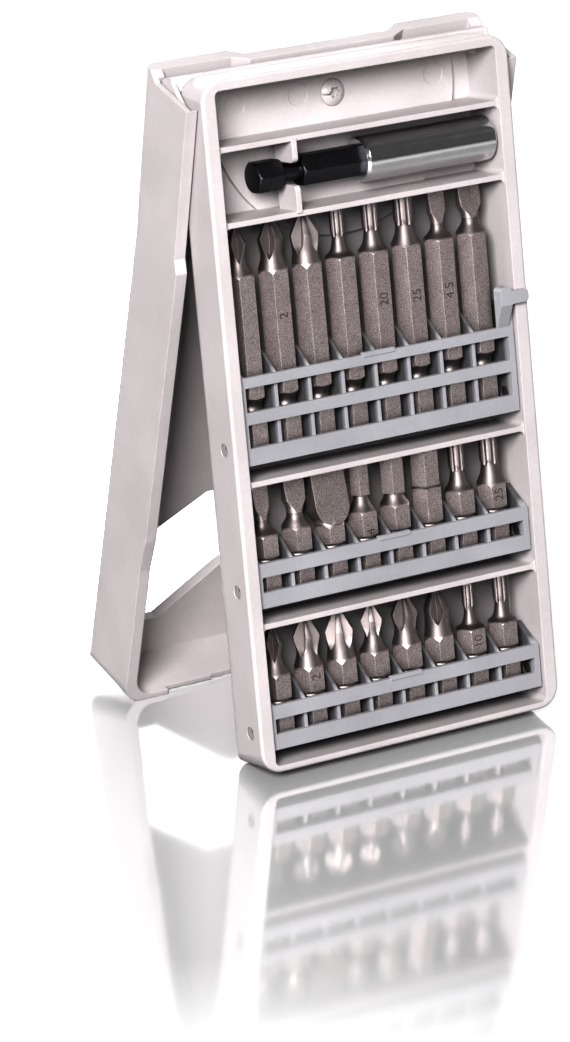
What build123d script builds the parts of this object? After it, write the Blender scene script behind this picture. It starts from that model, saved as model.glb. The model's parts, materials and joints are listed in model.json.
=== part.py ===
from build123d import *
import math
import os

# Hinged-stand screwdriver bit set: a tray of racked hex bits hangs in a cover that folds out behind it
# as a prop. Millimetres, +Z up, -Y is the open front, origin at the middle of the footprint.
#
# The tray and the cover are each drawn in their own front view: x across, y up along the piece and
# z towards the viewer, with 0 at the front rim, so a depth into the piece is a negative z.

# Stance: both halves stand on the table and meet at the fold hinge near the top.
TRAY_LEAN = 9.6
COVER_LEAN = 12.6

# Tray
TRAY_WIDTH = 76.6
TRAY_HEIGHT = 150.0
TRAY_DEPTH = 13.4
TRAY_CORNER = 5.0
TRAY_BACK_ROUND = 3.2
TRAY_DRAFT = 1.7
RIM_ROUND = 0.7
BAY_HALF = 35.0
BAY_DEPTH = 12.0
BAY_CORNER = 1.2
RIM_TOP = 2.35
RIM_BOTTOM = 1.55
SHELF = 1.2
SHELF_SETBACK = 0.7
SHELF_TOPS = (32.8, 63.85, 119.6, 135.7)
RAISED_RADIUS = 30.6
RAISED_DEPTH = 10.95
DISC_TOP = 146.0
NECK_HALF = 24.2
NOTCH_BOTTOM = 147.2
NOTCH_DEPTH = 9.3
NOTCH_WALL = 1.2
EJECTOR_MARKS = ((-24.3, 142.2), (-8.6, 142.5), (25.6, 142.1))
EJECTOR_RADIUS = 2.4
PRONG_X = (-17.3, -16.0)
PRONG_DEPTH = (0.5, 8.0)
PRONG_TIPS = (125.0, 129.8)

# Fold hinge: height above the bottom and depth behind the front rim of each half
HINGE_HEIGHT = 141.0
HINGE_DEPTH_TRAY = 6.0
HINGE_DEPTH_COVER = 6.2
STUD_RADIUS = 1.5
HINGE_CLEARANCE = 0.05
EAR_RADIUS = 2.4
EAR_INNER = 38.7
EAR_OUTER = 39.7
BAR_TOP = 150.5

# Cover
COVER_HALF = 41.3
COVER_INNER_HALF = 38.55
COVER_FLOOR = 1.15
COVER_CORNER = 4.5
COVER_INNER_CORNER = 4.6
COVER_BACK_ROUND = 2.2
COVER_FRONT = ((1.0, 0), (1.0, 35), (0.0, 43), (0.0, 110), (1.4, 113), (3.3, 147.2))
COVER_BACK = ((21.9, 149.4), (19.1, 110.2), (19.1, 0))
COVER_INNER_BACK = ((16.5, 0), (16.5, 110.2), (18.9, 149.4), (18.9, 156))
STRIP_INNER = 16.75
STRIP_OUTER = 19.4
STRIP_HALF = 18.0
STRIP_SLOPE = 5.5
STOP_GAP = 0.3
POCKET_FLOOR = 40.0
WINDOW = ((-31, 9.9), (-25.3, 9.9), (-10.5, 20.6), (-8, 22), (8, 22), (10.5, 20.6), (25.3, 9.9),
          (31, 9.9), (31, 32), (27, 34.8), (16, 41.4), (-16, 41.4), (-27, 34.8), (-31, 32))
LIP_SETBACKS = ((30, 2.6), (18, 3.2))

# Rivet and hinge plate
RIVET_HEIGHT = 141.8
RIVET_HEAD = 3.0
RIVET_DOME = 1.3
RIVET_SHANK = 2.2
DISC_RADIUS = 28.9
DISC_DEPTHS = (12.0, 13.3)

# Racks: heights are above the floor of the bay that holds the rack
RACK_SIDES = (-34.65, 34.6)
RACK_ENDS = (-33.6, 33.2)
RACK_FRONT = 1.0
RACK_BAR = 1.4
RACK_BACK = 9.9
FIN = 0.8
FIN_RISE = 4.6
FINGER_FRONT = -1.3
PIVOT_HEIGHT = 7.2
PIVOT_DEPTH = 4.5
PIN_RADIUS = 1.45
PIN_RECESS = 0.3

# Bits
BITS = 8
BIT_FIRST = -29.75
BIT_PITCH = 8.36
BIT_DEPTH = 6.1
HEX = 6.35
LONG_BIT = 50.0
LONG_SEAT = 4.25
SHORT_BIT = 25.0
SHORT_SEAT = 4.3

# Bit holder
HOLDER_HEIGHT = 127.4
HOLDER_DEPTH = 5.7
SLEEVE_RADIUS = 5.0
SLEEVE_ENDS = (1.5, 34.4)
SOCKET_START = 21.4
HOLDER_NECK = (-17.9, -13.6)
HOLDER_NECK_RADIUS = 2.0
HOLDER_TAIL = -24.6

FOOT_DROP = TRAY_DEPTH * math.sin(math.radians(TRAY_LEAN))
HINGE_Z = (HINGE_HEIGHT * math.cos(math.radians(TRAY_LEAN))
           - HINGE_DEPTH_TRAY * math.sin(math.radians(TRAY_LEAN)) + FOOT_DROP)
COVER_SINK = (HINGE_DEPTH_COVER - COVER_FRONT[0][0]) * math.sin(math.radians(COVER_LEAN))
HINGE_UP = (HINGE_Z - COVER_SINK) / math.cos(math.radians(COVER_LEAN))
OPEN_ANGLE = math.radians(TRAY_LEAN + COVER_LEAN)


def block(x_min, x_max, y_min, y_max, near, far):
    """Box in a front view between two depths."""
    size = Box(x_max - x_min, y_max - y_min, far - near)
    return Pos((x_max + x_min) / 2, (y_max + y_min) / 2, -(far + near) / 2) * size


def rounded(x_min, x_max, y_min, y_max, near, far, radius):
    """Box in a front view with its four upright corners rounded."""
    outline = RectangleRounded(x_max - x_min, y_max - y_min, radius)
    solid = extrude(outline, amount=far - near)
    return Pos((x_max + x_min) / 2, (y_max + y_min) / 2, -far) * solid


def side_prism(profile, x_min, x_max):
    """Solid of a side profile of (depth, height) points between two x."""
    face = make_face(Polyline(*[(0, height, -depth) for depth, height in profile], close=True))
    return Pos(x_min, 0, 0) * extrude(face, amount=x_max - x_min, dir=(1, 0, 0))


def top_prism(profile, y_min, y_max):
    """Solid of a plan profile of (x, depth) points between two heights."""
    face = make_face(Polyline(*[(x, 0, -depth) for x, depth in profile], close=True))
    return Pos(0, y_min, 0) * extrude(face, amount=y_max - y_min, dir=(0, 1, 0))


def front_prism(profile, near, far):
    """Solid of a front profile of (x, y) points between two depths."""
    face = make_face(Polyline(*[(x, y, -far) for x, y in profile], close=True))
    return extrude(face, amount=far - near, dir=(0, 0, 1))


def rod(radius, x_min, x_max, height, depth):
    """Round bar along x in a front view."""
    bar = Rot(0, 90, 0) * Cylinder(radius, x_max - x_min)
    return Pos((x_min + x_max) / 2, height, -depth) * bar


def disc(radius, near, far, height):
    """Round plate facing the viewer in a front view, centred on x = 0."""
    return Pos(0, height, -(near + far) / 2) * Cylinder(radius, far - near)


def both(solid):
    """The solid and its mirror image across x = 0."""
    return solid + mirror(solid, Plane.YZ)


def stop_depth(height):
    """Depth in the tray of the plane that meets the cover's strip when the stand is open."""
    ahead = STRIP_INNER - STOP_GAP - HINGE_DEPTH_COVER - (height - HINGE_HEIGHT) * math.sin(OPEN_ANGLE)
    return HINGE_DEPTH_TRAY + ahead / math.cos(OPEN_ANGLE)


def make_tray():
    half = TRAY_WIDTH / 2
    slim = half - TRAY_DEPTH * math.tan(math.radians(TRAY_DRAFT))
    plan = top_prism(((-half, -1), (half, -1), (half, 0), (slim, TRAY_DEPTH), (-slim, TRAY_DEPTH),
                      (-half, 0)), 0, TRAY_HEIGHT)
    long_back = plan.edges().filter_by(Axis.Y).sort_by(Axis.Z)[:2]
    plan = fillet(long_back, TRAY_BACK_ROUND)
    outline = rounded(-half, half, 0, TRAY_HEIGHT, 0, TRAY_DEPTH + 5, TRAY_CORNER)
    outline = fillet(outline.faces().sort_by(Axis.Z)[-1].edges(), RIM_ROUND)
    tray = plan & outline
    floors = (RIM_BOTTOM,) + SHELF_TOPS
    ceilings = tuple(top - SHELF for top in SHELF_TOPS) + (TRAY_HEIGHT - RIM_TOP,)
    bays = []
    for floor, ceiling in zip(floors, ceilings):
        deep = min(ceiling, DISC_TOP)
        bays.append(rounded(-BAY_HALF, BAY_HALF, floor, deep, 0, BAY_DEPTH, BAY_CORNER))
    notch_floor = NOTCH_DEPTH - NOTCH_WALL
    bays.append(rounded(-BAY_HALF, BAY_HALF, floors[-1], ceilings[-1], 0, notch_floor, BAY_CORNER))
    bays.append(block(-BAY_HALF, BAY_HALF, floors[0] + 3, ceilings[-1] - 3, -1, SHELF_SETBACK))
    for bay in bays:
        tray -= bay
    raised = disc(RAISED_RADIUS, RAISED_DEPTH, TRAY_DEPTH, RIVET_HEIGHT)
    tray += raised & block(-BAY_HALF, BAY_HALF, 100, DISC_TOP + 0.5, RAISED_DEPTH, TRAY_DEPTH)
    seat = disc(DISC_RADIUS + 0.3, DISC_DEPTHS[0], 20, RIVET_HEIGHT)
    tray -= seat & block(-40, 40, 100, DISC_TOP, 0, 20)
    tray -= block(-NECK_HALF, NECK_HALF, DISC_TOP - 1, NOTCH_BOTTOM + 1, DISC_DEPTHS[0], 20)
    tray -= block(-40, 40, NOTCH_BOTTOM, TRAY_HEIGHT + 1, NOTCH_DEPTH, 20)
    for shelf, tip in ((SHELF_TOPS[2] - 0.5, PRONG_TIPS[0]), (SHELF_TOPS[3] - SHELF + 0.5, PRONG_TIPS[1])):
        low, high = sorted((shelf, tip))
        prong = block(*PRONG_X, low, high, *PRONG_DEPTH)
        corners = prong.edges().filter_by(Axis.X)
        corners = corners.filter_by(lambda edge, tip=tip: abs(edge.center().Y - tip) < 0.1)
        tray += fillet(corners, 1.2)
    for x, height in EJECTOR_MARKS:
        tray -= Pos(x, height, -RAISED_DEPTH) * Cylinder(EJECTOR_RADIUS, 0.3)
    tray -= disc(RIVET_SHANK + 0.05, 0, 20, RIVET_HEIGHT)
    for floor in floors[:3]:
        tray -= both(rod(PIN_RADIUS, BAY_HALF - 1, half + 1, floor + PIVOT_HEIGHT, PIVOT_DEPTH))
    return tray


def make_pivot_pins():
    pins = []
    half = TRAY_WIDTH / 2 - PIN_RECESS
    for floor in (RIM_BOTTOM,) + SHELF_TOPS[:2]:
        height = floor + PIVOT_HEIGHT
        nick = PIVOT_DEPTH - PIN_RADIUS
        left = rod(PIN_RADIUS, -half, -33.75, height, PIVOT_DEPTH)
        pins.append(left - block(-half - 1, -half + 0.4, height + 0.3, height + 2, nick - 1, nick + 1.2))
        right = rod(PIN_RADIUS, 33.35, half, height, PIVOT_DEPTH)
        pins.append(right - block(half - 0.4, half + 1, height + 0.3, height + 2, nick - 1, nick + 1.2))
    return Compound(children=pins)


def make_hinge_plate():
    plate = disc(DISC_RADIUS, *DISC_DEPTHS, RIVET_HEIGHT)
    plate &= block(-40, 40, 100, DISC_TOP - 0.2, *DISC_DEPTHS)
    plate += block(-NECK_HALF + 0.3, NECK_HALF - 0.3, DISC_TOP - 1, NOTCH_BOTTOM + 1, *DISC_DEPTHS)
    low = NOTCH_BOTTOM + 0.2
    near = NOTCH_DEPTH + 0.15
    bar = ((near, low), (15, low), (15, BAR_TOP - 1.4), (12.4, BAR_TOP), (9.9, BAR_TOP),
           (near, BAR_TOP - 0.6))
    plate += side_prism(bar, -EAR_OUTER, EAR_OUTER)
    plate -= side_prism(((stop_depth(144), 144), (stop_depth(152), 152), (20, 152), (20, 144)), -41, 41)
    reach = EAR_RADIUS * 0.707
    ear = ((HINGE_DEPTH_TRAY - reach, HINGE_HEIGHT + reach), (near, BAR_TOP - 1.2), (11.5, BAR_TOP - 2),
           (11.5, low), (near, 143.4), (HINGE_DEPTH_TRAY + reach, HINGE_HEIGHT - reach))
    arm = side_prism(ear, EAR_INNER, EAR_OUTER)
    arm += rod(EAR_RADIUS, EAR_INNER, EAR_OUTER, HINGE_HEIGHT, HINGE_DEPTH_TRAY)
    arm -= rod(STUD_RADIUS + HINGE_CLEARANCE, 38, 41, HINGE_HEIGHT, HINGE_DEPTH_TRAY)
    plate += both(arm)
    groove = front_prism(((17.4, BAR_TOP + 1), (18.4, BAR_TOP + 1), (21, 146.5), (20, 146.5)), 11.4, 14)
    plate -= both(groove)
    return plate - disc(RIVET_SHANK + 0.05, 0, 20, RIVET_HEIGHT)


def make_rivet():
    face = RAISED_DEPTH - RIVET_DOME
    rivet = disc(RIVET_HEAD, face, RAISED_DEPTH, RIVET_HEIGHT)
    swell = (RIVET_HEAD ** 2 + RIVET_DOME ** 2) / (2 * RIVET_DOME)
    rivet &= Pos(0, RIVET_HEIGHT, -face - swell) * Sphere(swell + 0.02)
    rivet += disc(RIVET_SHANK, RAISED_DEPTH - 0.3, DISC_DEPTHS[1] + 0.5, RIVET_HEIGHT)
    rivet += disc(RIVET_SHANK + 0.6, DISC_DEPTHS[1], DISC_DEPTHS[1] + 0.5, RIVET_HEIGHT)
    star = Circle(1.25)
    for i in range(6):
        star -= Rot(0, 0, 60 * i + 30) * (Pos(1.3, 0, 0) * Circle(0.34))
    rivet -= Pos(0, RIVET_HEIGHT, -RAISED_DEPTH) * extrude(star, amount=3)
    return rivet - block(-4, -1.0, RIVET_HEIGHT - 0.45, RIVET_HEIGHT - 0.05, RAISED_DEPTH - 2, RAISED_DEPTH - 0.2)


def make_cover():
    cover = side_prism(COVER_FRONT + ((16.5, 147.4), (18.9, 149.4)) + COVER_BACK, -COVER_HALF, COVER_HALF)
    upright = cover.edges().filter_by(lambda edge: edge.length > 30 and edge.center().Z < -17)
    upright = upright.filter_by(lambda edge: abs(abs(edge.center().X) - COVER_HALF) < 0.1)
    cover = fillet(upright, COVER_BACK_ROUND)
    outline = rounded(-COVER_HALF, COVER_HALF, 0, 190, -1, 30, COVER_CORNER)
    cover &= outline
    hollow = side_prism(((-2, COVER_FLOOR),) + ((16.5, COVER_FLOOR),) + COVER_INNER_BACK[1:] + ((-2, 156),),
                        -COVER_INNER_HALF, COVER_INNER_HALF)
    hollow &= rounded(-COVER_INNER_HALF, COVER_INNER_HALF, COVER_FLOOR, 190, -3, 30, COVER_INNER_CORNER)
    cover -= hollow
    edge = STRIP_HALF + STRIP_SLOPE
    strip = top_prism(((-STRIP_HALF, STRIP_INNER), (STRIP_HALF, STRIP_INNER), (edge, 20), (-edge, 20)),
                      112.5, 149.4)
    cover += strip
    valley = top_prism(((-STRIP_HALF, STRIP_OUTER), (STRIP_HALF, STRIP_OUTER), (edge + 0.5, 24),
                        (-edge - 0.5, 24)), 100, 160)
    cover -= valley
    cover -= front_prism(WINDOW, 15, 24)
    for half, setback in LIP_SETBACKS:
        cover -= rounded(-half, half, -3, 3, -2, setback, 0.4)
    pocket = side_prism(((3.75, HINGE_UP), (HINGE_DEPTH_COVER, HINGE_UP - EAR_RADIUS - 0.15),
                         (7.8, HINGE_UP - EAR_RADIUS - 0.15), (12.2, HINGE_UP + 0.1), (17.4, HINGE_UP + 0.1),
                         (17.4, 160), (3.55, 160), (3.55, HINGE_UP)), 38, POCKET_FLOOR)
    pocket += rod(EAR_RADIUS + 0.25, 38, POCKET_FLOOR, HINGE_UP, HINGE_DEPTH_COVER)
    cover -= both(pocket)
    cover += both(rod(STUD_RADIUS, 38.75, POCKET_FLOOR + 0.5, HINGE_UP, HINGE_DEPTH_COVER))
    return cover


def make_rack(floor, seat, bars, end_height, finger):
    left, right = RACK_SIDES
    left_in, right_in = RACK_ENDS
    bar_back = RACK_FRONT + RACK_BAR
    low = bars[0][0]
    rack = block(left, right, floor + seat - 0.7, floor + seat, 1.2, 8.0)
    for under, over in bars:
        rack += block(left, right, floor + under, floor + over, RACK_FRONT, bar_back)
    top = floor + bars[-1][1]
    fin = ((bar_back - 0.5, floor + low + 0.3), (9.0, floor + low + 0.6), (RACK_BACK, floor + low + 1.8),
           (RACK_BACK, top - 4), (7.9, top + FIN_RISE - 0.4), (7.3, top + FIN_RISE), (6.9, top + FIN_RISE - 0.2),
           (bar_back - 0.5, top))
    for i in range(1, BITS):
        x = BIT_FIRST + BIT_PITCH * (i - 0.5)
        rack += side_prism(fin, x - FIN / 2, x + FIN / 2)
    foot = ((RACK_FRONT, floor + low), (8.0, floor + low), (9.4, floor + low + 1.0))
    if finger:
        crest = ((RACK_BACK, floor + end_height), (RACK_FRONT, floor + end_height - 1.5))
    else:
        crest = ((RACK_BACK, top - 1), (7.6, floor + end_height), (RACK_FRONT + 0.3, top), (RACK_FRONT, top - 0.3))
    end = foot + ((RACK_BACK, floor + low + 2.2),) + crest
    rack += side_prism(end, right_in, right)
    rack += side_prism(foot + ((9.4, floor + low + 1.2), (7.8, top + FIN_RISE - 1.5), (6.8, top + FIN_RISE - 1.5),
                               (RACK_FRONT, top)), left, left_in)
    rack += block(left, right, top - 8, top - 5, RACK_BACK - 0.05, RACK_BACK + 0.6)
    rack += block(-4, 4, top - 0.5, top + 0.5, RACK_FRONT - 0.15, bar_back - 0.4)
    if finger:
        arm = rounded(30.5, 33.5, floor + 24, floor + 31.5, FINGER_FRONT, RACK_FRONT + 0.5, 1.1)
        arm += block(30.5, 33.5, floor + 20.2, floor + 27, FINGER_FRONT, RACK_FRONT + 0.5)
        arm += rounded(30.9, 37.7, floor + 27.5, floor + 30.4, FINGER_FRONT, -0.25, 1.0)
        arm -= side_prism(((-3, floor + 19), (RACK_FRONT, floor + 19), (RACK_FRONT, floor + 22.4),
                           (FINGER_FRONT, floor + 27.4), (-3, floor + 27.4)), 29, 36)
        rack += arm
    hole = rod(PIN_RADIUS + HINGE_CLEARANCE, 32, 36, floor + PIVOT_HEIGHT, PIVOT_DEPTH)
    return rack - both(hole)


def hex_bar(length, dome):
    """Upright hex bar with its corners turned off at the bottom and domed at the top."""
    corner = HEX / math.sqrt(3)
    bar = extrude(RegularPolygon(corner, 6, rotation=0), amount=length)
    turned = Cylinder(corner + 0.02, length - 0.5 - dome, align=(Align.CENTER, Align.CENTER, Align.MIN))
    turned = Pos(0, 0, 0.5) * turned
    turned += Pos(0, 0, 0.25) * Cone(corner - 0.5, corner + 0.02, 0.5)
    turned += Pos(0, 0, length - dome / 2) * Cone(corner + 0.02, corner - 1.2, dome)
    return bar & turned


def blank(length, shank, notch, neck, top):
    """Hex shank turned to a smooth neck through (radius, height over the crown) points, then a straight top."""
    corner = HEX / math.sqrt(3) + 0.03
    bend = [(corner, shank - notch), (HEX / 2, shank)] + [(radius, shank + rise) for radius, rise in neck]
    curve = Spline(*[(radius, 0, height) for radius, height in bend])
    rest = [bend[-1]] + [(radius, shank + rise) for radius, rise in top]
    rest += [(rest[-1][0], length), (0, length), (0, 0), (corner - 0.5, 0), (corner, 0.5), bend[0]]
    lines = []
    for start, stop in zip(rest, rest[1:]):
        if start != stop:
            lines.append(Line((start[0], 0, start[1]), (stop[0], 0, stop[1])))
    turned = revolve(make_face([curve] + lines), Axis.Z)
    return turned & extrude(RegularPolygon(HEX / math.sqrt(3), 6), amount=length)


def drive_groove(low, high, radius):
    """Round-bottomed groove turned in the shank for a holder's ball."""
    middle = (low + high) / 2
    curve = Spline((4.2, 0, low - 0.3), (radius + 0.35, 0, low + 1.0), (radius, 0, middle),
                   (radius + 0.35, 0, high - 1.0), (4.2, 0, high + 0.3))
    return revolve(make_face([curve, Line((4.2, 0, high + 0.3), (4.2, 0, low - 0.3))]), Axis.Z)


def corner_notches(height):
    """Small notches across the six corners of a short shank."""
    return Pos(0, 0, height) * Torus(HEX / math.sqrt(3) + 0.1, 0.55)


def cut_flutes(bit, bottom, runout, point, length, turn):
    """Four V flutes ground along the tip; the wheel lifts out at the bottom."""
    lean = math.degrees(math.atan((bottom - point) / (length - runout)))
    vee = extrude(make_face(Polyline((0, 0), (4.5, 4.5), (4.5, -4.5), close=True)), amount=16)
    wheel = Pos(3.2, 0, 0) * Rot(-90, 0, 0) * Cone(3.2, 0, 3.2, align=(Align.CENTER, Align.CENTER, Align.MIN))
    wheel += mirror(wheel, Plane.XZ)
    for i in range(4):
        place = Rot(0, 0, turn + 90 * i) * Pos(bottom, 0, runout) * Rot(0, -lean, 0)
        bit -= place * vee
        bit -= place * wheel
    return bit


def cross_bit(length, shank, notch, neck, width, full, flutes, turn, ticks):
    """Cross-recess bit; width and full are the wing radius and where the wings are widest and start to taper."""
    bottom, runout, point = flutes
    taper = length - shank - full[1]
    bit = blank(length, shank, notch, neck, ((width, full[0]), (width, full[1]),
                                             (width - taper * 0.51, length - shank)))
    bit = cut_flutes(bit, bottom, shank + runout, point, length, turn)
    if ticks:
        for i in range(4):
            score = Pos(0.32 * width, 0, 20) * Rot(0, 0, 45) * Box(0.5, 0.5, 40)
            bit -= Rot(0, 0, turn + 90 * i) * Pos(0, 0, length) * Rot(0, -27, 0) * score
    return bit


def star_bit(length, shank, neck, radius):
    """Six-lobed bit whose grooves end in a ball-shaped run-out on the neck."""
    bit = blank(length, shank, 0.75, neck, ((radius, neck[-1][1] + 0.5), (radius, length - shank - 0.25),
                                            (radius - 0.25, length - shank)))
    size = radius * 0.27
    start = shank + neck[-1][1] - 0.6
    for i in range(6):
        spot = Rot(0, 0, 60 * i + 30) * Pos(radius * 1.0, 0, start)
        bit -= spot * Cylinder(size, 20, align=(Align.CENTER, Align.CENTER, Align.MIN))
        bit -= spot * Sphere(size)
    return bit


def slotted_bit(length, shank, neck, width, thick):
    """Flat-bladed bit: two faces ground from the waist of the neck to the edge."""
    waist, foot = neck[-2]
    bit = blank(length, shank, 0.75, neck, ((width / 2, length - shank),))
    foot += shank
    side = ((-6, -1), (6, -1), (6, foot), (waist, foot), (thick / 2, length + 0.01), (-thick / 2, length + 0.01),
            (-waist, foot), (-6, foot))
    keep = make_face(Polyline(*[(0, y, z) for y, z in side], close=True))
    return bit & extrude(keep, amount=8, dir=(1, 0, 0), both=True)


def wide_slotted_bit(length, shank, width, thick, root):
    """Flat-bladed bit whose blade is forged wider than the shank, with a round foot."""
    bit = blank(shank + 2, shank, 0.75, ((3.0, 0.35), (2.8, 0.9)), ((2.4, 2),))
    centre = shank - 0.1 + width / 2
    plate = Pos(0, 0, centre) * Rot(90, 0, 0) * Cylinder(width / 2, 8)
    plate += Pos(0, 0, (centre + length) / 2) * Box(width, 8, length - centre)
    side = ((-root, shank), (root, shank), (thick / 2, length + 0.01), (-thick / 2, length + 0.01))
    keep = make_face(Polyline(*[(0, y, z) for y, z in side], close=True))
    plate &= extrude(keep, amount=8, dir=(1, 0, 0), both=True)
    return bit + plate


def hex_bit(length, shank, neck, size):
    """Hex-key bit: the working hexagon sits on a turned neck."""
    corner = size / math.sqrt(3)
    top = neck[-1][1]
    bit = blank(shank + top + 0.2, shank, 0.75, neck, ())
    tip = extrude(RegularPolygon(corner, 6), amount=length - shank - top)
    tip &= blank_tip(corner, length - shank - top)
    return bit + Pos(0, 0, shank + top) * tip


def blank_tip(corner, length):
    """Round envelope that chamfers a hexagonal tip at its free end."""
    turned = Pos(0, 0, (length - 0.4) / 2) * Cylinder(corner + 0.01, length - 0.4)
    return turned + Pos(0, 0, length - 0.2) * Cone(corner, corner - 0.35, 0.4)


def make_holder():
    corner = HEX / math.sqrt(3)
    head = HOLDER_NECK[0] - HOLDER_TAIL
    body = SOCKET_START - 2 - HOLDER_NECK[1]
    tail = hex_bar(head, 0.8)
    shank = tail + Pos(0, 0, head + 2) * Cylinder(HOLDER_NECK_RADIUS, 5.4)
    front = Pos(0, 0, HOLDER_NECK[1] - HOLDER_TAIL) * hex_bar(body, 0.5)
    shank += front
    start = SLEEVE_ENDS[0] - HOLDER_TAIL
    end = SLEEVE_ENDS[1] - HOLDER_TAIL
    sleeve = Pos(0, 0, (start + end) / 2) * Cylinder(SLEEVE_RADIUS, end - start)
    sleeve = chamfer(sleeve.edges(), 0.5)
    sleeve -= Pos(0, 0, start - 1) * extrude(RegularPolygon(corner + 0.06, 6), amount=end - start + 2)
    sleeve -= Pos(0, 0, end - 4.6) * Cylinder(4.2, 1.0)
    magnet = Pos(0, 0, SOCKET_START - 1 - HOLDER_TAIL) * Cylinder(3.05, 1.9)
    ring = Pos(0, 0, end - 4.6) * Torus(3.75, 0.38)
    ring -= Pos(4, 0, end - 4.6) * Box(3, 1.6, 2)
    lay = Pos(HOLDER_TAIL, HOLDER_HEIGHT, -HOLDER_DEPTH) * Rot(0, 90, 0)
    return {"holder_shank": lay * shank, "holder_sleeve": lay * sleeve, "holder_magnet": lay * magnet,
            "holder_retaining_ring": lay * ring}


LONG_SHANK = 39.55
SHORT_SHANK = 14.7
CROSS_NECKS = {
    1: ((2.35, 1.3), (1.85, 2.6), (1.72, 3.6), (1.95, 4.7), (2.25, 5.8)),
    2: ((2.7, 1.3), (2.42, 2.5), (2.38, 3.4), (2.6, 4.5), (2.88, 5.6)),
    3: ((2.95, 1.2), (2.83, 2.4), (2.86, 3.4), (2.98, 4.4), (3.06, 5.2)),
}
CROSS_WINGS = {1: (2.35, (6.4, 6.7)), 2: (2.95, (6.1, 6.5)), 3: (3.1, (5.7, 6.0))}
CROSS_FLUTES = {1: (0.85, 4.4, 0.3), 2: (1.15, 4.3, 0.4), 3: (1.35, 4.3, 0.55)}


def sized_cross(length, shank, size, turn, ticks=False):
    """Cross-recess bit of a nominal size, 1 to 3, with its flutes turned from the flats."""
    width, full = CROSS_WINGS[size]
    flutes = CROSS_FLUTES[size]
    if ticks:
        flutes = (flutes[0] + 0.1, flutes[1] + 0.4, flutes[2] + 0.1)
    return cross_bit(length, shank, 0.7 + 0.15 * size, CROSS_NECKS[size], width, full, flutes, turn, ticks)


def sized_star(length, shank, radius):
    """Six-lobed bit of a lobe radius."""
    waist = radius - 0.3
    neck = ((waist + 0.85, 0.8), (waist + 0.32, 2.0), (waist + 0.06, 3.2), (waist, 4.1), (radius - 0.06, 5.0))
    return star_bit(length, shank, neck, radius)


def sized_blade(length, shank, width, thick, waist):
    """Flat-bladed bit of a blade width, with the given radius at its waist."""
    neck = ((waist + 0.75, 1.0), (waist + 0.1, 2.1), (waist, 2.7), (width / 2, 5.6))
    return slotted_bit(length, shank, neck, width, thick)


UPPER_BITS = {
    "long_bit_phillips_1": sized_cross(LONG_BIT, LONG_SHANK, 1, 70),
    "long_bit_phillips_2": sized_cross(LONG_BIT, LONG_SHANK, 2, 48),
    "long_bit_phillips_3": sized_cross(LONG_BIT, LONG_SHANK, 3, 28),
    "long_bit_star_15": sized_star(LONG_BIT, LONG_SHANK, 1.65),
    "long_bit_star_20": sized_star(LONG_BIT, LONG_SHANK, 1.95),
    "long_bit_star_25": sized_star(LONG_BIT, LONG_SHANK, 2.22),
    "long_bit_slotted_4": sized_blade(LONG_BIT, LONG_SHANK, 4.1, 0.7, 1.4),
    "long_bit_slotted_6": sized_blade(LONG_BIT, LONG_SHANK, 5.5, 0.9, 1.7),
}
MIDDLE_BITS = {
    "bit_slotted_3": sized_blade(SHORT_BIT, SHORT_SHANK - 0.5, 3.8, 0.6, 1.3),
    "bit_slotted_5": sized_blade(SHORT_BIT, SHORT_SHANK - 0.3, 5.2, 0.9, 1.8),
    "bit_slotted_8": wide_slotted_bit(SHORT_BIT, SHORT_SHANK - 1.4, 8.3, 1.2, 2.95),
    "bit_hex_4": hex_bit(SHORT_BIT, SHORT_SHANK, ((2.5, 0.8), (1.95, 1.7), (1.65, 2.6), (1.55, 3.3)), 4.0),
    "bit_hex_5": hex_bit(SHORT_BIT, SHORT_SHANK, ((2.75, 0.6), (2.4, 1.2), (2.2, 1.8), (2.15, 2.3)), 5.0),
    "bit_hex_6": hex_bit(SHORT_BIT, SHORT_SHANK + 2.2, ((3.05, 0.12), (2.98, 0.24)), 6.0),
    "bit_star_20": sized_star(SHORT_BIT, SHORT_SHANK, 1.95),
    "bit_star_25": sized_star(SHORT_BIT, SHORT_SHANK, 2.22),
}
LOWER_BITS = {
    "bit_phillips_1": sized_cross(SHORT_BIT, SHORT_SHANK, 1, 62),
    "bit_phillips_2": sized_cross(SHORT_BIT, SHORT_SHANK, 2, 26),
    "bit_phillips_3": sized_cross(SHORT_BIT, SHORT_SHANK, 3, 14),
    "bit_cross_1": sized_cross(SHORT_BIT, SHORT_SHANK, 1, 14, True),
    "bit_cross_2": sized_cross(SHORT_BIT, SHORT_SHANK, 2, 36, True),
    "bit_cross_3": sized_cross(SHORT_BIT, SHORT_SHANK, 3, 60, True),
    "bit_star_10": sized_star(SHORT_BIT, SHORT_SHANK, 1.38),
    "bit_star_15": sized_star(SHORT_BIT, SHORT_SHANK, 1.65),
}
GROOVE = drive_groove(9.0, 13.1, 2.35)
UPPER_BITS = {name: bit - GROOVE for name, bit in UPPER_BITS.items()}
NOTCHES = corner_notches(8.8)
MIDDLE_BITS = {name: bit - NOTCHES for name, bit in MIDDLE_BITS.items()}
LOWER_BITS = {name: bit - NOTCHES for name, bit in LOWER_BITS.items()}


def rack_bits(bits, floor, seat):
    """Stand a row of bits in its rack, tips up."""
    placed = {}
    for i, (name, bit) in enumerate(bits.items()):
        x = BIT_FIRST + BIT_PITCH * i
        placed[name] = Pos(x, floor + seat, -BIT_DEPTH) * (Rot(-90, 0, 0) * bit)
    return placed


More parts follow.
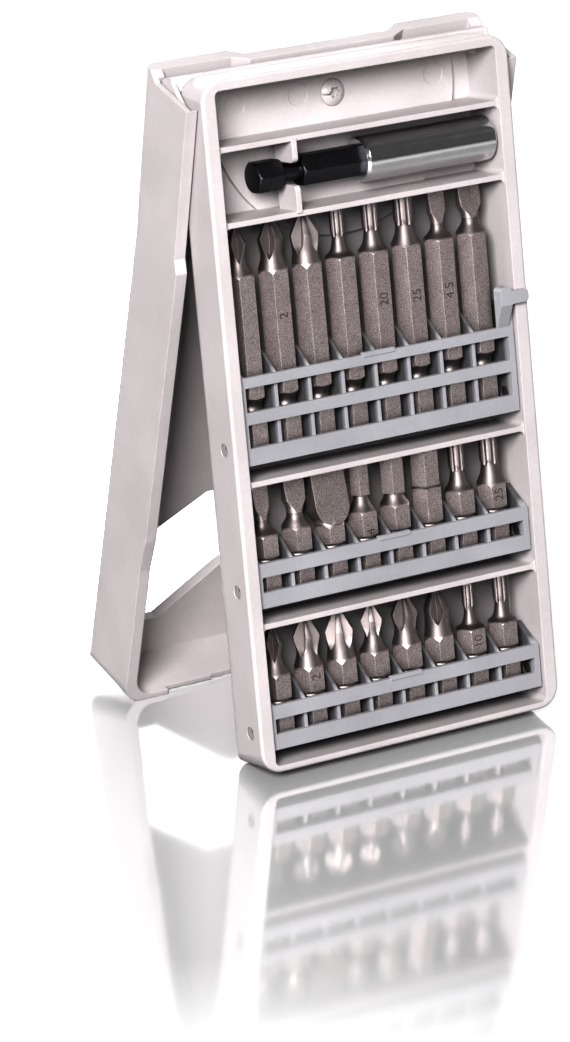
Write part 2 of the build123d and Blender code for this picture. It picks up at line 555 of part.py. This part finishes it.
def build():
    hinge = Location((0, 0, HINGE_Z))
    stand_tray = hinge * Rot(90 - TRAY_LEAN, 0, 0) * Pos(0, -HINGE_HEIGHT, HINGE_DEPTH_TRAY)
    stand_cover = hinge * Rot(90 + COVER_LEAN, 0, 0) * Pos(0, -HINGE_UP, HINGE_DEPTH_COVER)
    low, middle, high = (RIM_BOTTOM,) + SHELF_TOPS[:2]
    hung = {
        "tray": make_tray(),
        "hinge_plate": make_hinge_plate(),
        "swivel_rivet": make_rivet(),
        "rack_pivot_pins": make_pivot_pins(),
        "upper_rack": make_rack(high, LONG_SEAT - 0.1, ((3.45, 7.15), (12.25, 14.9), (20.15, 22.4)), 27.4, True),
        "middle_rack": make_rack(middle, SHORT_SEAT - 0.1, ((3.3, 6.7), (10.0, 13.0)), 17.4, False),
        "lower_rack": make_rack(low, SHORT_SEAT - 0.1, ((3.3, 6.7), (10.0, 13.0)), 17.4, False),
    }
    hung.update(rack_bits(UPPER_BITS, high, LONG_SEAT))
    hung.update(rack_bits(MIDDLE_BITS, middle, SHORT_SEAT))
    hung.update(rack_bits(LOWER_BITS, low, SHORT_SEAT))
    hung.update(make_holder())
    nodes = {name: stand_tray * solid for name, solid in hung.items()}
    nodes["cover"] = stand_cover * make_cover()
    boxes = [solid.bounding_box() for solid in nodes.values()]
    front = min(box.min.Y for box in boxes)
    back = max(box.max.Y for box in boxes)
    floor = min(box.min.Z for box in boxes)
    shift = Pos(0, -(front + back) / 2, -floor)
    return {name: shift * solid for name, solid in nodes.items()}, shift * hinge


os.makedirs("parts", exist_ok=True)
NODES, HINGE = build()
for node, solid in NODES.items():
    export_step(solid, f"parts/{node}.step")
print("fold hinge", HINGE.position)
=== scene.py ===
import bpy
import json
import math
from mathutils import Matrix, Vector


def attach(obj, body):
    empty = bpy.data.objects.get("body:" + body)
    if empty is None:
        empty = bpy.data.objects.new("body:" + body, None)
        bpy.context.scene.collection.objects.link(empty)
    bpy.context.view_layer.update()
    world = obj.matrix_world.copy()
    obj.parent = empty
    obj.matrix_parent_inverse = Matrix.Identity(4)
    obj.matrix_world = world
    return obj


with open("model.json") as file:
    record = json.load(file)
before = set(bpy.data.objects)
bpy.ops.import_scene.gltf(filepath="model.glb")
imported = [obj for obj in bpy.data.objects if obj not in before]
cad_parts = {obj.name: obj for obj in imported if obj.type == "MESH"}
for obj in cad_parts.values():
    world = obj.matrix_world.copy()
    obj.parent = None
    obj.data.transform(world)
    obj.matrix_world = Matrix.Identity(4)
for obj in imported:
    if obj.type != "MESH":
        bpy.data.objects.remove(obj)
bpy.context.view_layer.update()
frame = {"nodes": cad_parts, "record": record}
scene = bpy.context.scene
NODES = frame["nodes"]
RECORD = frame["record"]
MM = 0.001

# The leaning tray, in mm: heights run up it from its bottom edge, depths run back from its front rim.
LEAN = math.radians(9.6)
TRAY_UP = Vector((0, math.sin(LEAN), math.cos(LEAN)))
TRAY_OUT = Vector((0, -math.cos(LEAN), math.sin(LEAN)))
HINGE_MM = Vector((0, -7.182, 140.26))
HINGE_HEIGHT = 141.0
HINGE_DEPTH = 6.0
BAY_HALF = 35.0
BAY_FLOOR = 12.0
RACK_BAYS_TOP = 118.4

# The bits in their racks, in mm: heights up the tray of the end of the hexagon and of the drive groove.
BIT_PITCH = 8.36
FIRST_BIT = -29.75
BIT_FRONT_DEPTH = 2.92
CROWNS = {"upper_rack": 107.65, "middle_rack": 51.8, "lower_rack": 20.55}
CROWN_SHIFTS = {"bit_slotted_3": -0.5, "bit_slotted_5": -0.3, "bit_slotted_8": -1.4, "bit_hex_6": 2.2}
DRIVE_GROOVES = {"upper_rack": (77.4, 80.9), "middle_rack": (45.5, 46.3), "lower_rack": (14.25, 15.05)}
# A neck is smooth from the crown to the tip, or only as far as the flats of a blade or a hexagon tip.
NECK = 12
NECKS_TO_FLATS = {"bit_slotted_3": 2.9, "bit_slotted_5": 2.9, "bit_slotted_8": 0.1, "bit_hex_4": 3.3,
                  "bit_hex_5": 2.3, "bit_hex_6": 0.3, "long_bit_slotted_4": 3.0, "long_bit_slotted_6": 3.0}
FLATS = 20


# ---------------------------------------------------------------- materials
class Graph:
    """Short hand for building one material's node tree."""

    def __init__(self, name):
        self.mat = bpy.data.materials.new(name)
        self.mat.use_nodes = True
        self.tree = self.mat.node_tree
        self.tree.nodes.clear()
        self.out = self.tree.nodes.new("ShaderNodeOutputMaterial")
        self.shader = self.tree.nodes.new("ShaderNodeBsdfPrincipled")
        self.link(self.shader.outputs[0], self.out.inputs["Surface"])
        coords = self.tree.nodes.new("ShaderNodeTexCoord")
        scale = self.tree.nodes.new("ShaderNodeMapping")
        scale.inputs["Scale"].default_value = (1000, 1000, 1000)
        self.link(coords.outputs["Object"], scale.inputs["Vector"])
        self.mm = scale.outputs[0]  # place on the object at rest, in mm

    def link(self, a, b):
        self.tree.links.new(a, b)

    def plug(self, value, socket):
        """Give a socket a number, a colour or another node's output."""
        if isinstance(value, (int, float)):
            socket.default_value = value
        elif isinstance(value, tuple):
            socket.default_value = (*value, 1)
        else:
            self.link(value, socket)

    def noise(self, scale, detail, rough=0.5):
        node = self.tree.nodes.new("ShaderNodeTexNoise")
        node.inputs["Scale"].default_value = scale
        node.inputs["Detail"].default_value = detail
        node.inputs["Roughness"].default_value = rough
        self.link(self.mm, node.inputs["Vector"])
        return node.outputs["Fac"]

    def ramp(self, fac, low, high):
        """Colour low where fac is 0, high where it is 1."""
        node = self.tree.nodes.new("ShaderNodeValToRGB")
        for element, colour in zip(node.color_ramp.elements, (low, high)):
            element.color = (*colour, 1)
        self.link(fac, node.inputs["Fac"])
        return node.outputs["Color"]

    def spread(self, fac, low, high, start=0.3, end=0.7):
        """Number low where fac is start, high where it is end, and held beyond both."""
        node = self.tree.nodes.new("ShaderNodeMapRange")
        node.inputs["From Min"].default_value = start
        node.inputs["From Max"].default_value = end
        node.inputs["To Min"].default_value = low
        node.inputs["To Max"].default_value = high
        self.link(fac, node.inputs["Value"])
        return node.outputs["Result"]

    def mix(self, fac, a, b, blend="MIX"):
        node = self.tree.nodes.new("ShaderNodeMix")
        node.data_type = "RGBA"
        node.blend_type = blend
        self.plug(fac, node.inputs["Factor"])
        self.plug(a, node.inputs[6])
        self.plug(b, node.inputs[7])
        return node.outputs[2]

    def maths(self, kind, a, b=0.0):
        node = self.tree.nodes.new("ShaderNodeMath")
        node.operation = kind
        self.plug(a, node.inputs[0])
        self.plug(b, node.inputs[1])
        return node.outputs[0]

    def blend(self, fac, a, b):
        """Number a where fac is 0, b where it is 1."""
        kept = self.maths("MULTIPLY", a, self.maths("SUBTRACT", 1.0, fac))
        return self.maths("ADD", kept, self.maths("MULTIPLY", b, fac))

    def along(self, direction, offset=0.0):
        """Distance in mm along a direction, plus an offset."""
        node = self.tree.nodes.new("ShaderNodeVectorMath")
        node.operation = "DOT_PRODUCT"
        node.inputs[1].default_value = direction
        self.link(self.mm, node.inputs[0])
        return self.maths("ADD", node.outputs["Value"], offset)

    def up_tray(self):
        return self.along(TRAY_UP, HINGE_HEIGHT - HINGE_MM.dot(TRAY_UP))

    def into_tray(self):
        return self.along(-TRAY_OUT, HINGE_DEPTH + HINGE_MM.dot(TRAY_OUT))

    def in_rack_bays(self):
        """1 inside the three bays that the racks stand in, 0 on every outer face of the tray."""
        split = self.tree.nodes.new("ShaderNodeSeparateXYZ")
        self.link(self.mm, split.inputs[0])
        sideways = self.maths("ABSOLUTE", split.outputs["X"])
        across = self.spread(sideways, 1.0, 0.0, BAY_HALF - 0.4, BAY_HALF - 0.05)
        below = self.spread(self.up_tray(), 1.0, 0.0, RACK_BAYS_TOP - 0.9, RACK_BAYS_TOP + 0.2)
        inside = self.spread(self.into_tray(), 1.0, 0.0, BAY_FLOOR + 0.4, BAY_FLOOR + 0.9)
        return self.maths("MULTIPLY", self.maths("MULTIPLY", across, below), inside)

    def band(self, low, high):
        """1 between two heights up the tray, falling to 0 within a few tenths."""
        rise = self.spread(self.up_tray(), 0.0, 1.0, low - 0.35, low + 0.1)
        fall = self.spread(self.up_tray(), 1.0, 0.0, high - 0.1, high + 0.2)
        return self.maths("MULTIPLY", rise, fall)

    def bumps(self, edge, layers):
        """Rounded edges of the given radius in mm, then bump layers of (height, depth in mm)."""
        normal = None
        if edge:
            bevel = self.tree.nodes.new("ShaderNodeBevel")
            bevel.samples = 6
            bevel.inputs["Radius"].default_value = edge * MM
            normal = bevel.outputs[0]
        for height, depth in layers:
            bump = self.tree.nodes.new("ShaderNodeBump")
            bump.inputs["Distance"].default_value = depth * MM
            self.link(height, bump.inputs["Height"])
            if normal:
                self.link(normal, bump.inputs["Normal"])
            normal = bump.outputs[0]
        self.link(normal, self.shader.inputs["Normal"])


def scaled(colour, amount):
    return tuple(amount * c for c in colour)


def plastic(name, dark, light, edge, rough, painted_shade=None, bays_only=False):
    """Moulded plastic. The depths in mm given as (from, to, brightness left) get painted shade: the colour
    darkens over them, standing in for the shadow deep inside.
    """
    g = Graph(name)
    cloud = g.noise(0.06, 2)
    grain = g.noise(2.6, 2)
    speck = g.noise(1.1, 4, 0.6)
    base = g.ramp(g.spread(cloud, 0, 1), dark, light)
    fine = g.ramp(g.spread(speck, 0, 1, 0.25, 0.75), (0.93, 0.93, 0.93), (1.0, 1.0, 1.0))
    colour = g.mix(1.0, base, fine, "MULTIPLY")
    # Painted shade: the colour darkens with depth into the tray, standing in for the shadow inside.
    if painted_shade:
        start, end, left = painted_shade
        depth = g.spread(g.into_tray(), 0.0, 1.0, start, end)
        if bays_only:
            depth = g.maths("MULTIPLY", depth, g.in_rack_bays())
        colour = g.mix(depth, colour, scaled(dark, left))
    g.link(colour, g.shader.inputs["Base Color"])
    g.link(g.spread(grain, rough - 0.05, rough + 0.07), g.shader.inputs["Roughness"])
    g.shader.inputs["IOR"].default_value = 1.5
    g.bumps(edge, ((g.noise(0.35, 2), 0.02), (grain, 0.012)))
    return g.mat


NECK_ROUGHNESS = 0.46
NECK_BRIGHTNESS = 0.30
# Painted shade: a bit's drive groove is coloured this share of the light steel, standing in for the shadow
# in the groove.
GROOVE_PAINTED_SHADE = 0.3
GROUND_TINT = (0.95, 0.95, 0.94)
TURNING_MARKS = 9.0 * 6.283


def steel(name, dark, light, rough, grain_depth, edge=0.12, neck=None, groove=None, flats=None):
    """Metal with a blasted grain. A bit's neck, groove and flats are (from, to) in mm up the tray; the
    groove gets painted shade, a darker colour standing in for its shadow.
    """
    g = Graph(name)
    grain = g.noise(4.2, 3, 0.7)
    blotch = g.noise(0.45, 3, 0.6)
    base = g.ramp(g.spread(grain, 0, 1), dark, light)
    stain = g.ramp(g.spread(blotch, 0, 1), (0.95, 0.945, 0.945), (1.0, 1.0, 1.0))
    colour = g.mix(1.0, base, stain, "MULTIPLY")
    roughness = g.spread(blotch, rough - 0.02, rough + 0.03)
    layers = [(grain, grain_depth)]
    g.shader.inputs["Metallic"].default_value = 1.0
    if neck:
        smooth = g.band(*neck)
        turned = g.mix(1.0, scaled(light, NECK_BRIGHTNESS), stain, "MULTIPLY")
        colour = g.mix(smooth, colour, turned)
        shine = g.spread(blotch, NECK_ROUGHNESS - 0.01, NECK_ROUGHNESS + 0.03)
        roughness = g.blend(smooth, roughness, shine)
        calm = g.maths("SUBTRACT", 1.0, g.maths("MULTIPLY", smooth, 0.9))
        rings = g.maths("SINE", g.maths("MULTIPLY", g.up_tray(), TURNING_MARKS))
        layers = [(g.maths("MULTIPLY", grain, calm), grain_depth),
                  (g.maths("MULTIPLY", rings, smooth), 0.004)]
    if flats:
        colour = g.mix(g.band(*flats), colour, g.mix(1.0, colour, GROUND_TINT, "MULTIPLY"))
    # Painted shade: the drive groove band is darkened to stand in for its shadow.
    if groove:
        colour = g.mix(g.band(*groove), colour, scaled(light, GROOVE_PAINTED_SHADE))
    g.link(colour, g.shader.inputs["Base Color"])
    g.link(roughness, g.shader.inputs["Roughness"])
    g.bumps(edge, layers)
    return g.mat


def bit_steel(name, body, number):
    """Steel for the bits of a rack whose crown and neck are like the named one's."""
    crown = CROWNS[body] + CROWN_SHIFTS.get(name, 0)
    neck = (round(crown, 2), round(crown + NECKS_TO_FLATS.get(name, NECK), 2))
    flats = (neck[1] + 0.2, neck[1] + FLATS) if name in NECKS_TO_FLATS else None
    return steel(f"bit_steel_{number}", (0.15, 0.128, 0.126), (0.56, 0.497, 0.490), 0.45, 0.03,
                 neck=neck, groove=DRIVE_GROOVES[body], flats=flats)


CASE_COLOURS = ((0.36, 0.334, 0.339), (0.40, 0.372, 0.377))
RACK_COLOURS = ((0.235, 0.233, 0.246), (0.27, 0.268, 0.282))
SKINS = {
    "case_plastic": plastic("case_plastic", *CASE_COLOURS, 0.35, 0.42),
    # Painted shade in the tray's rack bays: their back walls and shelves darken with depth, standing in
    # for their shadow.
    "tray": plastic("tray_plastic", *CASE_COLOURS, 0.35, 0.42, painted_shade=(7.0, 11.0, 0.42), bays_only=True),
    # Painted shade inside the racks: they darken behind their front bars, standing in for the shadow
    # there.
    "rack_plastic": plastic("rack_plastic", *RACK_COLOURS, 0.2, 0.40, painted_shade=(2.0, 3.6, 0.3)),
    "pin_steel": steel("pin_steel", (0.35, 0.34, 0.33), (0.5, 0.49, 0.48), 0.35, 0.01),
    "sleeve_chrome": steel("sleeve_chrome", (0.56, 0.56, 0.565), (0.70, 0.70, 0.705), 0.12, 0.012, 0.15),
    "black_steel": steel("black_steel", (0.022, 0.022, 0.026), (0.085, 0.085, 0.095), 0.36, 0.02, 0.2),
    "magnet": steel("magnet", (0.1, 0.1, 0.1), (0.15, 0.15, 0.15), 0.4, 0.01),
}
ENGRAVING = steel("engraving", (0.05, 0.043, 0.042), (0.16, 0.14, 0.137), 0.55, 0.02, 0)

bit_steels = {}
for body, names in RECORD["behaviour"]["bodies"].items():
    for name in names:
        if body in CROWNS and "bit_" in name:
            likeness = (body, CROWN_SHIFTS.get(name), NECKS_TO_FLATS.get(name))
            if likeness not in bit_steels:
                bit_steels[likeness] = bit_steel(name, body, len(bit_steels) + 1)
            SKINS[name] = bit_steels[likeness]

for part in RECORD["subparts"]:
    for slot in NODES[part["node"]].material_slots:
        slot.link = "OBJECT"
        slot.material = SKINS.get(part["node"]) or SKINS[part["material_slot"]]


# ---------------------------------------------------------------- size numbers engraved on the bits
def tray_point(x, height, depth):
    """Point in metres from mm across, up and into the leaning tray."""
    up = TRAY_UP * (height - HINGE_HEIGHT)
    out = TRAY_OUT * (depth - HINGE_DEPTH)
    return (HINGE_MM + Vector((x, 0, 0)) + up - out) * MM


NUMBER_SIZE = 3.0
NUMBER_RISE = 0.015
NUMBER_THINNING = 0.028


def engraved(words, body, place, height):
    """Number running up the front flat of the bit in that place of a rack."""
    name = f"{body}_number_{place + 1}"
    curve = bpy.data.curves.new(name, "FONT")
    curve.body = words
    curve.size = NUMBER_SIZE * MM
    curve.extrude = NUMBER_RISE * MM
    curve.offset = -NUMBER_THINNING * MM
    curve.align_x = "CENTER"
    curve.align_y = "CENTER"
    letters = bpy.data.objects.new(name, curve)
    scene.collection.objects.link(letters)
    bpy.context.view_layer.update()
    mesh = bpy.data.meshes.new_from_object(letters.evaluated_get(bpy.context.evaluated_depsgraph_get()))
    bpy.data.objects.remove(letters)
    obj = bpy.data.objects.new(name, mesh)
    scene.collection.objects.link(obj)
    axes = Matrix((TRAY_UP, Vector((-1, 0, 0)), TRAY_OUT)).transposed().to_4x4()
    middle = tray_point(FIRST_BIT + BIT_PITCH * place, height, BIT_FRONT_DEPTH)
    obj.matrix_world = Matrix.Translation(middle) @ axes
    mesh.materials.clear()
    mesh.materials.append(ENGRAVING)
    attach(obj, body)


for words, body, place, height in (("2", "upper_rack", 1, 97.6), ("20", "upper_rack", 4, 97.0),
                                   ("25", "upper_rack", 5, 96.5), ("4.5", "upper_rack", 6, 96.2),
                                   ("4", "middle_rack", 3, 47.3), ("25", "middle_rack", 7, 49.3),
                                   ("2", "lower_rack", 1, 18.2), ("10", "lower_rack", 6, 17.7)):
    engraved(words, body, place, height)


# ---------------------------------------------------------------- floor, mirror-like near the case
AWAY = (0.52, 0.854, 0)
FLOOR_HALF = 6
MIRROR_SHARE = 0.58
MIRROR_START = -235
MIRROR_FULL = -135

floor_mesh = bpy.data.meshes.new("floor")
corners = [(x * FLOOR_HALF, y * FLOOR_HALF, 0) for x, y in ((-1, -1), (1, -1), (1, 1), (-1, 1))]
floor_mesh.from_pydata(corners, [], [(0, 1, 2, 3)])
floor = bpy.data.objects.new("floor", floor_mesh)
scene.collection.objects.link(floor)
g = Graph("floor_gloss")
g.link(g.ramp(g.noise(0.004, 2), (0.56, 0.56, 0.563), (0.60, 0.60, 0.60)), g.shader.inputs["Base Color"])
g.link(g.spread(g.noise(0.02, 2), 0.55, 0.65), g.shader.inputs["Roughness"])
mirror = g.tree.nodes.new("ShaderNodeBsdfGlossy")
mirror.inputs["Color"].default_value = (0.97, 0.96, 0.97, 1)
mirror.inputs["Roughness"].default_value = 0.08
both = g.tree.nodes.new("ShaderNodeMixShader")
g.link(g.spread(g.along(AWAY), 0.0, MIRROR_SHARE, MIRROR_START, MIRROR_FULL), both.inputs[0])
g.link(g.shader.outputs[0], both.inputs[1])
g.link(mirror.outputs[0], both.inputs[2])
g.link(both.outputs[0], g.out.inputs["Surface"])
floor_mesh.materials.append(g.mat)
floor.visible_diffuse = False


# ---------------------------------------------------------------- dim room with a bright backdrop
ROOM_FILL = 0.2
BACKDROP = 1.32
BELOW_HORIZON = 0.12

world = bpy.data.worlds.new("studio")
scene.world = world
world.use_nodes = True
tree = world.node_tree
tree.nodes.clear()


def world_node(kind, *sources, **settings):
    """World node with its first inputs given in order, as numbers, vectors or other nodes' outputs."""
    node = tree.nodes.new(kind)
    for key, value in settings.items():
        setattr(node, key, value)
    for socket, source in zip(node.inputs, sources):
        if isinstance(source, bpy.types.NodeSocket):
            tree.links.new(source, socket)
        else:
            socket.default_value = source
    return node.outputs


coords = world_node("ShaderNodeTexCoord")["Generated"]
upward = world_node("ShaderNodeSeparateXYZ", coords)["Z"]
behind = world_node("ShaderNodeVectorMath", coords, AWAY, operation="DOT_PRODUCT")["Value"]
far = world_node("ShaderNodeMapRange", behind, 0.1, 0.6, ROOM_FILL, BACKDROP)[0]
above = world_node("ShaderNodeMapRange", upward, -0.02, 0.06, BELOW_HORIZON, 1.0)[0]
level = world_node("ShaderNodeMath", far, above, operation="MULTIPLY")[0]
sky = world_node("ShaderNodeBackground", (1.0, 0.985, 0.99, 1), level)[0]
world_node("ShaderNodeOutputWorld", sky)


# ---------------------------------------------------------------- lights and camera
def area_light(name, place, aim, size, power):
    lamp = bpy.data.lights.new(name, "AREA")
    lamp.shape = "RECTANGLE"
    lamp.size, lamp.size_y = size
    lamp.energy = power
    obj = bpy.data.objects.new(name, lamp)
    scene.collection.objects.link(obj)
    obj.location = place
    obj.rotation_euler = (Vector(aim) - Vector(place)).to_track_quat("-Z", "Y").to_euler()


area_light("key", (-0.88, -0.90, 0.80), (0, 0, 0.07), (0.55, 0.55), 60)
area_light("front", (-0.35, -1.3, 0.55), (0, 0, 0.07), (0.9, 0.7), 8)
area_light("side", (1.0, -0.5, 0.5), (0, 0, 0.08), (0.5, 0.8), 2)
area_light("rear", (0.35, 1.3, 0.3), (0, 0, 0.07), (0.6, 0.4), 16)

LENS_MM = 173.2284
SENSOR_MM = 36
AIM = Vector((0, -7.13, 74.9)) * MM
YAW, PITCH, ROLL = (math.radians(v) for v in (-31.279, 20.717, -0.103))
OFFSET = Vector((-12.818, -29.062, 1090.751)) * MM

back = Vector((math.sin(YAW) * math.cos(PITCH), -math.cos(YAW) * math.cos(PITCH), math.sin(PITCH)))
level_right = Vector((math.cos(YAW), math.sin(YAW), 0))
level_up = back.cross(level_right)
right = level_right * math.cos(ROLL) + level_up * math.sin(ROLL)
up = level_up * math.cos(ROLL) - level_right * math.sin(ROLL)
viewpoint = AIM + right * OFFSET.x + up * OFFSET.y + back * OFFSET.z
camera = bpy.data.objects.new("camera", bpy.data.cameras.new("camera"))
scene.collection.objects.link(camera)
camera.matrix_world = Matrix.Translation(viewpoint) @ Matrix((right, up, back)).transposed().to_4x4()
camera.data.sensor_fit = "VERTICAL"
camera.data.sensor_height = SENSOR_MM
camera.data.lens = LENS_MM
camera.data.clip_end = 50
scene.camera = camera
scene.view_settings.view_transform = "Standard"
scene.view_settings.gamma = 0.68
